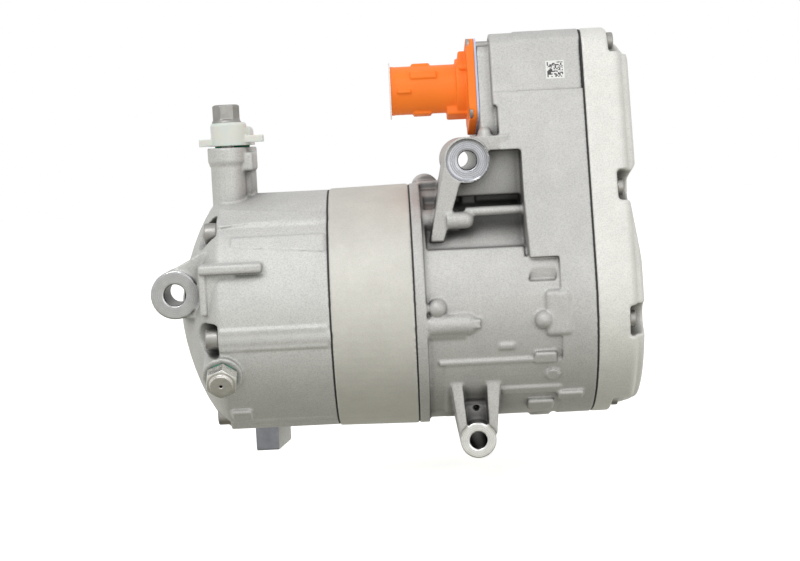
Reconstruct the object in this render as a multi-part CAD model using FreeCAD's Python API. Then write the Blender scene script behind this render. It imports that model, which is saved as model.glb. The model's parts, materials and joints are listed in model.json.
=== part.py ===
"""Electric scroll compressor for a car's air conditioning, as an assembly of separate pieces.

Axes while modelling: X runs along the shaft from the head joint (x = 0) towards the inverter,
Y points to the back of the compressor, Z is up, and the shaft axis is y = z = 0.
The finished pieces are moved so that the origin is the middle of the upper mounting lug's bore.
"""
import FreeCAD
import Part
import math
import os

V = FreeCAD.Vector
X_AXIS, Y_AXIS, Z_AXIS = V(1, 0, 0), V(0, 1, 0), V(0, 0, 1)

# ---- driving dimensions, millimetres -------------------------------------------------
SHELL_R = 60.0            # outer radius of head and centre housing
HEAD_JOINT_X = 0.0        # head to centre housing
CENTRE_JOINT_X = 39.4     # centre housing to motor housing
COVER_JOINT_X = 125.5     # motor housing to inverter cover
COVER_END_X = 149.0
HEAD_SEAT_X = -53.8       # seats of the through bolts
HEAD_TIP_X = -77.8
DOME_EDGE_X = -52.5       # the dome starts here
DOME_POWER = 1.35         # 1 is an ellipse, more is pointier
GASKET_T = 0.6

MOTOR_R = 57.5            # outside of the motor housing barrel
BARREL_IN_R = 50.0        # stator seat
COLLAR_W = 5.0
BAND_X = 109.0            # start of the raised band at the cover joint
CASE_R = 59.0             # half width of the inverter case
CASE_TOP = 125.0          # top of the case above the shaft, in the case's own frame
CASE_LEFT_X = 75.7        # left wall of the case
CASE_LOW_X = 84.0         # left edge of the case's raised lower front
CASE_HIGH_X = 82.0        # left edge of its upper front
CASE_STEP_Z = 98.0        # where the two meet
CASE_FACE_STEP = (92.0, 1.5)   # above this height, own frame, the front face is set back
CASE_FRONT_X = 94.0       # the case's front block starts here
CASE_TILT = 13.5          # the case leans back, degrees
CASE_CORNER = 13.0
CASE_WALL = 4.5
ROOM_INSET = 8.0          # connector room behind the set-back left wall
BULKHEAD_X = (101.0, 109.0)

LUG_FRONT_Y = -44.0
LUG_BACK_Y = 48.0
UPPER_LUG = (68.2, 71.3)  # x, z of the bores
LOWER_LUG = (67.5, -63.8)
UPPER_LUG_BORE_R = 4.5
LOWER_LUG_BORE_R = 4.2
UPPER_LUG_R = 10.3
LOWER_LUG_R = 8.8
EAR = (-75.0, 13.7)
EAR_BORE_R = 5.2
EAR_R = 11.7
EAR_Y = (-44.0, -20.0)
REAR_LUG = (-38.5, -66.5)  # x, z of the short lug under the back of the head
REAR_LUG_BORE_R = 4.2
REAR_LUG_Y = (12.0, 40.0)
REAR_LUG_BORE_DEPTH = 22.0

BOLT_CIRCLE_R = 53.0
BOLT_ANGLES = [188 + 60 * k for k in range(6)]   # from +Y towards +Z
BOLT_R = 3.0
BOLT_HEAD_R = 5.2
BOLT_HEAD_H = 6.4
BOLT_END_X = 58.0

PORT_X = -48.6            # discharge port column
PORT_BOLT_Y = -13.0
PORT_HOLE_Y = 9.0
PORT_FACE_Z = 83.0
PORT_HOLE_R = 7.5
FACET_TOP_Z = 24.5         # underside of the front block
LUG_RECESS_TOP = 75.5      # ceiling of the recess beside the upper lug
RECESS_WALL_Z = 54.0       # lower edge of that recess's back wall
SHELF_Z = 29.5             # the barrel is set back above this, under the lug
SHELF_R = 53.6
SUCTION_X = 48.5
SUCTION_FACE_Y = 63.0
SUCTION_HOLE_Z = 24.0
SUCTION_BOLT_Z = 47.0
SCREW_BOSS_Z = 57.6        # plain cast boss above the suction port
SUCTION_HOLE_R = 7.5

RELIEF_X = -53.1
RELIEF_ANGLE = 204.0      # from +Y towards +Z, so it points forward and down
RELIEF_BORE_R = 5.0

HV_Y, HV_Z = -33.5, 101.8          # connector centre in the case's own frame
HV_FLANGE_X = (70.8, 74.7)
HV_SCREW_SINK = 1.8                # depth of the flange's screw pockets
HV_BARREL_X = (33.4, 66.6)
HV_BARREL_R = 11.9
LV_X, LV_Z = 105.0, 88.0           # low-voltage connector on the case's back wall

ORBIT_R = 4.5             # crank throw
SCROLL_T = 4.0            # scroll wall thickness
SCROLL_GAP = 0.12         # flank clearance
SHAFT_R = 9.0
PIN_R = 6.0
ROTOR_R = 26.0
STATOR_IN_R = 26.8
MOTOR_X = (50.0, 92.0)    # stator stack
RUN_CLEAR = 0.03          # running clearance, radial
BOARD_X = 117.0           # inverter board, on posts of the motor housing
COVER_RIM = 12.7          # full-height part of the cover, from the joint
SIDE_SCREW_Z = 44.0       # screws half way up the cover's sides, in the case's own frame
LOW_SCREW_ANGLES = (201.5, 270.0, 338.5)
LOW_STEP_Z = -54.0         # the cover's underside is stepped up past its rim
LOW_STEP_X = 134.8
TOP_FLOOR = 13.0           # cover thickness under a screw's head: at the top and sides,
LOW_FLOOR = 15.0           # in the two lower notches
END_FLOOR = 10.2           # and underneath
SCREW_HEAD_H = 3.2

SCROLL_PITCH = 2 * (SCROLL_T + ORBIT_R)   # one full turn
SCROLL_START_R = 9.0      # centre-line radius of the first half ring
SCROLL_HALF_TURNS = 4
FIXED_FLOOR_X = -38.0
FIXED_TIP_X = -14.05
ORBIT_TIP_X = -37.9
ORBIT_FACE_X = -13.9
ORBIT_BACK_X = -6.9
ORBIT_PLATE_R = 41.5
CARRIER_X = (-3.8, 28.0)  # bearing carrier
PIN_CIRCLE_R = 31.5
GUIDE_PIN_R = 2.5
CRANK_Y = ORBIT_R         # the crank pin stands towards the back

NODES = {}


# ---- helpers ---------------------------------------------------------------------------
def put(name, shape):
    """Store one finished node."""
    NODES[name] = shape


def cyl_x(x0, x1, r, y=0.0, z=0.0):
    return Part.makeCylinder(r, x1 - x0, V(x0, y, z), X_AXIS)


def cyl_y(y0, y1, r, x, z):
    return Part.makeCylinder(r, y1 - y0, V(x, y0, z), Y_AXIS)


def cyl_z(z0, z1, r, x, y):
    return Part.makeCylinder(r, z1 - z0, V(x, y, z0), Z_AXIS)


def ring_x(x0, x1, r_out, r_in, y=0.0, z=0.0):
    return cyl_x(x0, x1, r_out, y, z).cut(cyl_x(x0 - 1, x1 + 1, r_in, y, z))


def block(x0, x1, y0, y1, z0, z1):
    return Part.makeBox(x1 - x0, y1 - y0, z1 - z0, V(x0, y0, z0))


def soft_block(x0, x1, y0, y1, z0, z1, r):
    """A block with all its edges rounded."""
    b = block(x0, x1, y0, y1, z0, z1)
    return b.makeFillet(r, b.Edges)


def spin(shape, angle):
    """Turn about the shaft axis; 0 is +Y and 90 is +Z."""
    s = shape.copy()
    s.rotate(V(0, 0, 0), X_AXIS, angle)
    return s


def tilt(shape):
    """From the inverter case's own frame to the compressor's."""
    return spin(shape, -CASE_TILT)


def radial(x, angle, r0, r1, r):
    """A cylinder that points away from the shaft."""
    return spin(Part.makeCylinder(r, r1 - r0, V(x, r0, 0), Y_AXIS), angle)


def polar(r, angle):
    a = math.radians(angle)
    return r * math.cos(a), r * math.sin(a)


def prism_xz(points, y0, y1):
    wire = Part.makePolygon([V(x, y0, z) for x, z in points + points[:1]])
    return Part.Face(wire).extrude(V(0, y1 - y0, 0))


def prism_yz(points, x0, x1):
    wire = Part.makePolygon([V(x0, y, z) for y, z in points + points[:1]])
    return Part.Face(wire).extrude(V(x1 - x0, 0, 0))


def revolve_x(points):
    """Turn a closed (x, r) outline about the shaft axis."""
    wire = Part.makePolygon([V(x, 0, r) for x, r in points + points[:1]])
    return Part.Face(wire).revolve(V(0, 0, 0), X_AXIS, 360)


def hexagon(across, height, origin, axis, turn=0.0):
    """A hexagonal prism, with chamfered far corners, along an axis."""
    r = across / math.sqrt(3)
    pts = [V(r * math.cos(math.radians(60 * k + turn)), r * math.sin(math.radians(60 * k + turn)), 0)
           for k in range(7)]
    body = Part.Face(Part.makePolygon(pts)).extrude(V(0, 0, height))
    body = body.common(Part.makeCone(r + height * 1.7, across / 2 * 0.96, height))
    body.Placement = FreeCAD.Placement(origin, FreeCAD.Rotation(Z_AXIS, axis))
    return body


def fuse(first, *rest):
    shape = first.multiFuse(list(rest)) if rest else first
    return shape.removeSplitter()


def cut_all(body, cuts):
    for c in cuts:
        body = body.cut(c)
    return body


def group(shapes):
    return Part.makeCompound(shapes)


def case_profile(inset):
    """The inverter case's outline across the shaft: a half circle below, a box above."""
    r = CASE_R - inset
    top = CASE_TOP - inset
    c = max(CASE_CORNER - inset, 3.0)
    k = c * (1 - math.sqrt(0.5))
    arc_low = Part.Arc(V(0, -r, 0), V(0, 0, -r), V(0, r, 0)).toShape()
    right = Part.makeLine(V(0, r, 0), V(0, r, top - c))
    arc_r = Part.Arc(V(0, r, top - c), V(0, r - k, top - k), V(0, r - c, top)).toShape()
    over = Part.makeLine(V(0, r - c, top), V(0, -r + c, top))
    arc_l = Part.Arc(V(0, -r + c, top), V(0, -r + k, top - k), V(0, -r, top - c)).toShape()
    left = Part.makeLine(V(0, -r, top - c), V(0, -r, 0))
    return Part.Face(Part.Wire([arc_low, right, arc_r, over, arc_l, left]))


def case_slab(x0, x1, inset):
    face = case_profile(inset)
    face.translate(V(x0, 0, 0))
    return tilt(face.extrude(V(x1 - x0, 0, 0)))


# ---- housings --------------------------------------------------------------------------
def head_outline():
    """Outer (x, r) outline of the discharge head: a straight skirt, then a flattened dome."""
    skirt_r = SHELL_R - 0.5
    points = [(HEAD_JOINT_X - GASKET_T, 0), (HEAD_JOINT_X - GASKET_T, skirt_r), (DOME_EDGE_X, skirt_r)]
    steps = 12
    for k in range(1, steps + 1):
        a = math.radians(90.0 * k / steps)
        depth, height = math.sin(a) ** DOME_POWER, math.cos(a) ** DOME_POWER
        points.append((DOME_EDGE_X + (HEAD_TIP_X - DOME_EDGE_X) * depth, skirt_r * height))
    points[-1] = (HEAD_TIP_X, 0)
    return points


def discharge_head():
    body = revolve_x(head_outline())
    adds = []
    for a in BOLT_ANGLES:
        y, z = polar(BOLT_CIRCLE_R, a)
        adds.append(cyl_x(HEAD_SEAT_X, HEAD_JOINT_X - GASKET_T, 7.6, y, z))
    # raised plate at the front left with the ear on it
    ear = cyl_y(EAR_Y[0], EAR_Y[1], EAR_R, *EAR)
    web = prism_xz([(-79.5, 24.0), (-60, 34.0), (-46, 33.0), (-46, 2.2), (-74, 2.2)], EAR_Y[0] + 1, EAR_Y[1])
    plate = prism_xz([(-60.8, 27.5), (-45, 27.5), (-45, 4), (-58.5, 4)], -55.5, -30)
    rib = soft_block(-61.5, -31.5, -59.6, -40, 23.8, 28.2, 1.2)
    upright = soft_block(-61.8, -58.4, -56.6, -36, 4.0, 27.5, 1.0)
    # port column on the top
    column = soft_block(PORT_X - 8.5, PORT_X + 10.8, PORT_BOLT_Y + 2, PORT_HOLE_Y + 11, 20, 76, 3)
    stem = cyl_z(30, PORT_FACE_Z - 6, 8.4, PORT_X - 0.6, PORT_BOLT_Y)
    pad_front = cyl_z(PORT_FACE_Z - 6.8, PORT_FACE_Z, 9.6, PORT_X - 0.6, PORT_BOLT_Y)
    pad_front = pad_front.fuse(Part.makeCone(8.4, 9.6, 2.4, V(PORT_X - 0.6, PORT_BOLT_Y, PORT_FACE_Z - 9.2)))
    pad_back = cyl_z(PORT_FACE_Z - 9.5, PORT_FACE_Z, 12.2, PORT_X, PORT_HOLE_Y)
    pad_step = soft_block(PORT_X, PORT_X + 12.4, PORT_BOLT_Y - 4, PORT_HOLE_Y, 71.0, 80.6, 1.5)
    # short lug under the back
    lug_x, lug_z = REAR_LUG
    y0, y1 = REAR_LUG_Y
    foot = [V(lug_x - 7, y0, lug_z - 8), V(lug_x + 5, y0, lug_z - 8), V(lug_x + 9.5, y1, lug_z - 8),
            V(lug_x - 7, y1, lug_z - 8)]
    lug = Part.Face(Part.makePolygon(foot + foot[:1])).extrude(V(0, 0, 20))
    # relief valve boss, small cast blocks and rib
    valve_boss = radial(RELIEF_X, RELIEF_ANGLE, 30, 61.5, 9.6)
    wedge = prism_yz([(40, -7.0), (60.5, -7.0), (60.5, 7.5), (40, 7.5)], -53, -2)
    wedge = wedge.common(prism_xz([(-53, -7), (-2, -1.0), (-2, 1.6), (-53, 7.5)], 30, 70))
    step_a = spin(wedge, 125)
    step_b = spin(prism_xz([(-46.5, -0.5), (-2, 4.0), (-2, -6.0), (-46.5, -6.0)], 50, 60.1), 144)
    step_c = spin(soft_block(-53.5, -1.5, 50, 60.2, -6, 5, 1.0), 188)
    step_d = spin(soft_block(-52, -2.5, 50, 60.1, -2, 2, 1.0), 240)
    small = spin(soft_block(-51.5, -41.5, 48, 61.6, -4.4, 4.4, 1.2), 231)
    body = fuse(body, *adds, ear, web, plate, rib, upright, column, stem, pad_front, pad_back,
                pad_step, lug, valve_boss, step_a, step_b, step_c, step_d, small)
    cuts = [cyl_x(-46, 1, 52.0), cyl_x(-65.5, -45, 32.4)]       # scroll seat, discharge chamber
    for a in BOLT_ANGLES:
        y, z = polar(BOLT_CIRCLE_R, a)
        cuts.append(cyl_x(HEAD_TIP_X, HEAD_SEAT_X, 7.9, y, z))
        cuts.append(spin(block(HEAD_TIP_X, HEAD_SEAT_X, BOLT_CIRCLE_R, 80, -7.9, 7.9), a))
        cuts.append(cyl_x(HEAD_TIP_X, 5, BOLT_R + 0.25, y, z))
    cuts.append(cyl_y(EAR_Y[0] - 20, EAR_Y[0], EAR_R + 1.5, *EAR))
    cuts.append(cyl_y(-90, EAR_Y[1] + 0.5, EAR_BORE_R, *EAR))
    cuts.append(cyl_y(y1 - REAR_LUG_BORE_DEPTH, y1 + 1, REAR_LUG_BORE_R, lug_x, lug_z))
    cuts.append(cyl_z(20, 100, PORT_HOLE_R, PORT_X, PORT_HOLE_Y))
    cuts.append(cyl_z(62, 100, BOLT_R + 0.02, PORT_X, PORT_BOLT_Y))
    cuts.append(radial(RELIEF_X, RELIEF_ANGLE, 20, 70, RELIEF_BORE_R))
    cuts.append(cyl_x(-64, -30, 5.2, -3.0, 26.0))
    return cut_all(body, cuts)


def centre_housing():
    """Drafted middle ring: thrust plate seat on the left, bearing carrier seat on the right."""
    outer = revolve_x([(0, 0), (0, SHELL_R), (CENTRE_JOINT_X, SHELL_R + 0.7), (CENTRE_JOINT_X, 0)])
    cuts = [cyl_x(-1, 19.0, 47.0), cyl_x(18.0, 41, 44.0)]
    for a in BOLT_ANGLES:
        y, z = polar(BOLT_CIRCLE_R, a)
        cuts.append(cyl_x(-1, 41, BOLT_R + 0.25, y, z))
    return cut_all(outer, cuts)


def motor_housing():
    x0 = CENTRE_JOINT_X + GASKET_T
    end = COVER_JOINT_X
    lx, lz = UPPER_LUG
    bx, bz = LOWER_LUG
    face_step_z, face_set_back = CASE_FACE_STEP
    barrel = cyl_x(x0, end, MOTOR_R)
    collar = cyl_x(x0, x0 + COLLAR_W, SHELL_R + 0.6)
    band = case_slab(BAND_X, end, 0)
    # inverter case: a front block with a raised lower part, and a wall set back to its left
    front = case_slab(CASE_FRONT_X, end, 0.1).common(block(CASE_FRONT_X, end, -90, 90, FACET_TOP_Z, 160))
    below_step = block(CASE_LEFT_X, end, -90, 110, LUG_RECESS_TOP, CASE_STEP_Z)
    case_low = case_slab(CASE_LOW_X, end, 0.1).common(below_step)
    case_high = case_slab(CASE_HIGH_X, end, 0.6).common(block(70, end, -90, 110, CASE_STEP_Z - 1, 160))
    case = case_slab(CASE_LEFT_X, end, 5.0).common(block(70, end, -90, 110, LUG_RECESS_TOP, 160))
    back = case_slab(CASE_LEFT_X, end, 1.0).common(tilt(block(70, end, -34, 70, 40, 130)))
    back = back.common(block(70, end, -34, 110, RECESS_WALL_Z, 160))
    recess_wall = block(60.0, CASE_FRONT_X, -34, 6, RECESS_WALL_Z, LUG_RECESS_TOP + 1)
    facet_z = FACET_TOP_Z + 0.4
    facet = prism_yz([(-60, facet_z), (-54.6, facet_z), (-53.4, 13.5), (-60, 12.0)], 93, 109)
    facet = facet.common(prism_xz([(97.5, 25), (108, 25), (107, 12), (93.5, 12)], -61, -40))
    # the recess's right wall leans
    lean = [V(CASE_FRONT_X - 1, -62, FACET_TOP_Z), V(CASE_FRONT_X + 2.8, -62, FACET_TOP_Z),
            V(CASE_FRONT_X, -47, FACET_TOP_Z), V(CASE_FRONT_X - 1, -47, FACET_TOP_Z)]
    lean = Part.Face(Part.makePolygon(lean + lean[:1])).extrude(V(0, 0, LUG_RECESS_TOP - FACET_TOP_Z))
    # mounting lugs
    upper = cyl_y(LUG_FRONT_Y, LUG_BACK_Y, UPPER_LUG_R, lx, lz)
    cast_y = LUG_FRONT_Y - 1.2
    collar_up = cyl_y(cast_y, 30, 11.0, lx - 0.4, lz + 0.2)
    arm = prism_xz([(lx - 11.2, lz - 1.0), (lx - 3.6, lz - 9.4), (55.2, 33), (48.6, 33)], cast_y, 6)
    web = block(lx - 3, lx + 4, -20, 42, 40, lz - 4)
    bridge = block(lx - 1, CASE_LOW_X + 4, -41.6, 30, lz + 4.2, lz + 11.2)
    lower = cyl_y(LUG_FRONT_Y - 1, LUG_BACK_Y, LOWER_LUG_R, bx, bz)
    rib_l = prism_xz([(54.6, -30), (60.4, -30), (62.4, -58), (58.8, -61)], LUG_FRONT_Y - 3, 10)
    rib_r = prism_xz([(72.4, -30), (79.6, -30), (76.6, -61), (73.0, -62)], LUG_FRONT_Y - 3, 10)
    lower_web = block(61, 74, -22, 30, -62, -40)
    # cast shapes in the pocket between the lower lug's ribs
    pocket_bar = cyl_x(60, 75, 2.2, -37.2, -42.6)
    pocket_pad = soft_block(61, 74, -37, -20, -58, -46.6, 2.5)
    pocket_pad = pocket_pad.cut(cyl_y(-40, -26, 1.4, bx, -49.2))
    # cast bosses and ribs on the barrel
    bullet = fuse(cyl_x(57, 66, 4.2, -43.0, 43.0), Part.makeSphere(4.2, V(66, -43.0, 43.0)))
    bar = cyl_x(66, CASE_FRONT_X + 1, 2.3, -42.0, 46.8)
    finger = cyl_x(46.5, 64, 5.4, -55.6, -5.5)
    finger_end = Part.makeSphere(5.4, V(64, -55.6, -5.5))
    finger_tab = soft_block(64, 70.4, -60.2, -52, -7.6, -3.2, 0.6)
    bump = fuse(radial(50.2, 177.4, 40, 57.4, 4.6), spin(Part.makeSphere(4.6, V(50.2, 57.4, 0)), 177.4))
    boss_pad = spin(soft_block(101.2, 114, 50, 59.4, -11, 11, 2.5), 182.2)
    round_boss = radial(100.3, 185.0, 40, 57.6, 4.4)
    round_boss = fuse(round_boss, spin(Part.makeSphere(4.4, V(100.3, 57.6, 0)), 185.0))
    dot_boss = radial(104.2, 213.6, 40, 59.8, 3.4)
    plateau = ring_x(53, BAND_X, MOTOR_R + 0.9, MOTOR_R - 4)
    plateau = plateau.common(spin(prism_yz([(0, 0), (90, -1), (60, 80), (-20, 80)], 50, 120), 206))
    ridge = spin(soft_block(50, 96, 50, 58.8, -1.2, 1.2, 0.4), 205.0)
    ridge_boss = spin(soft_block(95.5, 106, 50, 60.2, -3, 3, 1.0), 203.5)
    low_rib = spin(soft_block(79, 109, 50, 59.6, -2.8, 2.8, 1.0), 223.5)
    low_block = spin(soft_block(92.5, 105.5, 50, 61.2, -4.5, 4.5, 1.2), 235.0)
    under_boss = radial(100.5, 261.0, 40, 59.6, 5.0)
    band_block = spin(soft_block(107.0, 119.5, 50, 61.4, -2.8, 2.8, 1.0), 227.0)
    clip_pad = spin(soft_block(79, 86, 50, 58.6, -1.5, 1.5, 0.5), 197.5)
    corner_ball = Part.makeSphere(3.4, V(CASE_LEFT_X + 1.6, -37.5, 83.4))
    # suction port pad and its screw boss, on the back
    port_pad = cyl_y(20, SUCTION_FACE_Y, 14.0, SUCTION_X, SUCTION_HOLE_Z)
    screw_boss = cyl_y(4, SUCTION_FACE_Y, 8.4, SUCTION_X, SUCTION_BOLT_Z)
    port_web = block(SUCTION_X - 8, SUCTION_X + 7, 24, SUCTION_FACE_Y - 2, SUCTION_HOLE_Z, SUCTION_BOLT_Z)
    plain_boss = cyl_y(10, 34, 7.0, SUCTION_X, SCREW_BOSS_Z)
    shelf = block(44.5, 57, -6, 10, 52, 61.2)
    shelf_cut = cyl_x(x0 + COLLAR_W + 1.5, CASE_FRONT_X, MOTOR_R + 6).cut(cyl_x(x0, end, SHELF_R))
    barrel = barrel.cut(shelf_cut.common(block(x0, end, -90, -18, SHELF_Z, 90)))
    body = fuse(barrel, collar, band, front, case, case_low, case_high, back, recess_wall, upper,
                collar_up, arm, web, bridge, lower, rib_l, rib_r, lower_web,
                pocket_bar, pocket_pad, bullet, bar, finger, finger_end,
                finger_tab, bump, boss_pad, round_boss, dot_boss, plateau, ridge, ridge_boss, low_rib,
                low_block, under_boss, band_block, clip_pad, corner_ball, port_pad, screw_boss, port_web,
                plain_boss, shelf)
    cuts = [cyl_x(x0 - 30, BULKHEAD_X[0], BARREL_IN_R), case_slab(BULKHEAD_X[1], end + 1, CASE_WALL),
            block(x0 - 30, x0, -90, 90, -90, 90), cyl_y(-60, LUG_FRONT_Y, UPPER_LUG_R, lx, lz),
            cyl_y(-60, LUG_FRONT_Y - 1, LOWER_LUG_R + 0.6, bx, bz), facet, lean,
            tilt(block(CASE_LEFT_X, end + 1, -CASE_R - 1, face_set_back - CASE_R, face_step_z, 140)),
            spin(soft_block(67.5, 71, 58.9, 62, -0.7, 0.7, 0.3), 185.5)]
    upper_room = case_slab(CASE_LEFT_X + CASE_WALL, BULKHEAD_X[1] + 1, ROOM_INSET)
    cuts.append(upper_room.common(tilt(block(70, end, -70, 70, 82, 130))))
    cuts.append(cyl_x(BULKHEAD_X[0] - 2, BULKHEAD_X[0] + 5.0, 14.0))       # rear bearing seat
    cuts.append(cyl_y(-90, 90, UPPER_LUG_BORE_R, lx, lz))
    cuts.append(cyl_y(-90, 90, LOWER_LUG_BORE_R, bx, bz))
    cuts.append(cyl_y(20, 90, SUCTION_HOLE_R, SUCTION_X, SUCTION_HOLE_Z))
    cuts.append(cyl_y(40, 90, BOLT_R + 0.02, SUCTION_X, SUCTION_BOLT_Z))
    cuts.append(tilt(cyl_x(60, 90, 16.0, HV_Y, HV_Z)))
    cuts.append(tilt(block(LV_X - 9, LV_X + 9, 40, 70, LV_Z - 6, LV_Z + 6)))
    cuts.append(block(BULKHEAD_X[0] - 3, BULKHEAD_X[1] + 3, -12, 12, 34.0, 44.0))   # feed-through window
    body = cut_all(body, cuts)
    # screw bosses inside the case, and bolt bosses beside the stator
    bosses = [tilt(cyl_x(BULKHEAD_X[1] - 1, end, 6.0, y, z)) for y, z in cover_screw_places()]
    for a in BOLT_ANGLES:
        y, z = polar(BOLT_CIRCLE_R, a)
        bosses.append(cyl_x(x0, BOLT_END_X + 5, 6.4, y, z).cut(cyl_x(x0 - 1, 92, BARREL_IN_R)))
    posts = [tilt(cyl_x(BULKHEAD_X[1] - 1, BOARD_X, 3.2, y, z)) for y, z in board_screw_places()]
    body = fuse(body, *bosses, *posts)
    holes = [tilt(cyl_x(110, BOARD_X + 1, 1.62, y, z)) for y, z in board_screw_places()]
    for a in BOLT_ANGLES:
        y, z = polar(BOLT_CIRCLE_R, a)
        holes.append(cyl_x(x0 - 1, BOLT_END_X + 2, BOLT_R + 0.02, y, z))
    for y, z in hv_screw_places():
        holes.append(tilt(cyl_x(70, 85, 2.02, y, z)))
    for y, z in cover_screw_places():
        holes.append(tilt(cyl_x(BAND_X + 1, end + 1, 2.02, y, z)))
    return cut_all(body, holes)


def hv_screw_places():
    return [(HV_Y + sy * 16.4, HV_Z + sz * 16.4) for sy in (-1, 1) for sz in (-1, 1)]


def cover_screw_places():
    """Screw centres round the cover, in the case's own frame."""
    r = CASE_R - 6.5
    side = [(s * r, SIDE_SCREW_Z) for s in (-1, 1)]
    top = [(s * (r - 1.5), CASE_TOP - 8.0) for s in (-1, 1)]
    low = [polar(r, a) for a in LOW_SCREW_ANGLES]
    return side + top + low


def screw_floor(z):
    """Cover thickness under the head of the screw at this height, in the case's own frame."""
    if z > 0:
        return TOP_FLOOR
    return LOW_FLOOR if z > LOW_STEP_Z / 2 else END_FLOOR


def inverter_cover():
    x0 = COVER_JOINT_X + GASKET_T
    rim_x = COVER_JOINT_X + COVER_RIM
    end = COVER_END_X
    rim = case_slab(x0, end - 4, 0)
    rim = rim.makeFillet(3.5, [e for e in rim.Edges if abs(e.CenterOfMass.x - end + 4) < 0.1])
    lid = case_slab(end - 6, end, 4.5)
    lid = lid.makeFillet(3.5, [e for e in lid.Edges if abs(e.CenterOfMass.x - end) < 0.1])
    ribs = [tilt(block(end - 1, end + 0.8, -30, 30, z, z + 2.2)) for z in (-4, 68, 92)]
    # the top steps down past the rim, and the end dips between the side screws and the middle
    slope = prism_xz([(rim_x, CASE_TOP - 2.5), (rim_x + 2.7, CASE_TOP - 4.5), (rim_x + 7.2, CASE_TOP - 8.2),
                      (end - 1.3, CASE_TOP - 12.7), (end + 0.5, CASE_TOP - 21.0),
                      (end + 30, CASE_TOP - 21), (end + 30, CASE_TOP + 20), (rim_x, CASE_TOP + 20)], -90, 90)
    mid = SIDE_SCREW_Z
    dip = prism_xz([(end + 9, mid + 20), (end, mid + 11), (end - 3.6, mid + 5.5), (end - 3.8, mid - 7.4),
                    (end, mid - 36), (end + 9, mid - 36)], -90, 90)
    under = block(LOW_STEP_X, end + 5, -90, 90, -90, LOW_STEP_Z)
    shape = cut_all(fuse(rim, lid, *ribs), [tilt(slope), tilt(dip), tilt(under)])
    room = case_slab(x0 - 1, end - 3.5, 5.0)
    room = cut_all(room, [tilt(slope.translated(V(-4, 0, -4))), tilt(dip.translated(V(-3.5, 0, 0))),
                          tilt(under.translated(V(-3.5, 0, 3.5))),
                          tilt(block(rim_x - 3.5, end + 10, -90, 90, CASE_TOP - 12, CASE_TOP + 15))])
    outer = shape.copy()
    shape = shape.cut(room)
    bosses, cuts = [], []
    for y, z in cover_screw_places():
        seat = x0 + screw_floor(z)
        bosses.append(tilt(cyl_x(x0, end - 3.6, 9.0, y, z)).common(outer))
        cuts.append(tilt(cyl_x(seat, end + 1, 7.4, y, z)))
        cuts.append(tilt(cyl_x(x0 - 1, x0 + 20, 2.25, y, z)))
        # each screw's pocket is open to the outside
        open_side = block(seat, end + 1, 0, 12, -7.4, 7.4)
        turn = math.degrees(math.atan2(z, y)) if z < 0 else (0 if y > 0 else 180)
        open_side.rotate(V(0, 0, 0), X_AXIS, turn)
        open_side.translate(V(0, y, z))
        cuts.append(tilt(open_side))
    return cut_all(fuse(shape, *bosses), cuts)


def gaskets():
    def holed(shape, x0):
        holes = [cyl_x(x0 - 1, x0 + 2, BOLT_R + 0.3, *polar(BOLT_CIRCLE_R, a)) for a in BOLT_ANGLES]
        return cut_all(shape, holes)
    put("head_gasket", holed(ring_x(-GASKET_T, 0, SHELL_R - 0.6, 52.2), -GASKET_T))
    joint = CENTRE_JOINT_X
    put("centre_gasket", holed(ring_x(joint, joint + GASKET_T, SHELL_R, 50.2), joint))
    x0 = COVER_JOINT_X
    sheet = case_slab(x0, x0 + GASKET_T, 0.4).cut(case_slab(x0 - 1, x0 + 2, 5.0))
    pads = [tilt(cyl_x(x0, x0 + GASKET_T, 6.0, y, z)) for y, z in cover_screw_places()]
    holes = [tilt(cyl_x(x0 - 1, x0 + 2, 2.3, y, z)) for y, z in cover_screw_places()]
    put("cover_gasket", cut_all(fuse(sheet, *pads), holes))


# ---- fasteners -------------------------------------------------------------------------
def cap_screw(x0, x1, head_x, shank_r, head_r, y, z, socket):
    """A socket-head screw along X whose head ends at head_x."""
    shank = cyl_x(min(x0, x1), max(x0, x1), shank_r, y, z)
    lo, hi = sorted((x1, head_x))
    head = cyl_x(lo, hi, head_r, y, z)
    head = head.makeFillet(head_r * 0.12, [e for e in head.Edges if abs(e.CenterOfMass.x - head_x) < 0.05])
    drive_x = head_x if head_x < x1 else head_x - socket * 0.8
    drive = hexagon_flat(socket, socket * 0.8, V(drive_x, y, z))
    return shank.fuse(head).cut(drive)


def hexagon_flat(across, height, origin):
    r = across / math.sqrt(3)
    pts = [V(0, r * math.cos(math.radians(60 * k)), r * math.sin(math.radians(60 * k))) for k in range(7)]
    body = Part.Face(Part.makePolygon(pts)).extrude(V(height, 0, 0))
    body.translate(origin)
    return body


def fasteners():
    bolts = []
    for a in BOLT_ANGLES:
        y, z = polar(BOLT_CIRCLE_R, a)
        head_end = HEAD_SEAT_X - BOLT_HEAD_H
        bolts.append(cap_screw(BOLT_END_X, HEAD_SEAT_X, head_end, BOLT_R, BOLT_HEAD_R, y, z, 5.0))
    put("head_bolts", group(bolts))
    screws = []
    for y, z in cover_screw_places():
        seat = COVER_JOINT_X + GASKET_T + screw_floor(z)
        screws.append(tilt(cap_screw(BAND_X + 3, seat, seat + SCREW_HEAD_H, 2.0, 4.2, y, z, 3.0)))
    put("cover_screws", group(screws))
    x_seat = HV_FLANGE_X[0] + HV_SCREW_SINK
    hv = [tilt(cap_screw(84, x_seat, x_seat - 1.6, 2.0, 3.4, y, z, 2.4)) for y, z in hv_screw_places()]
    put("hv_connector_screws", group(hv))


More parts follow.
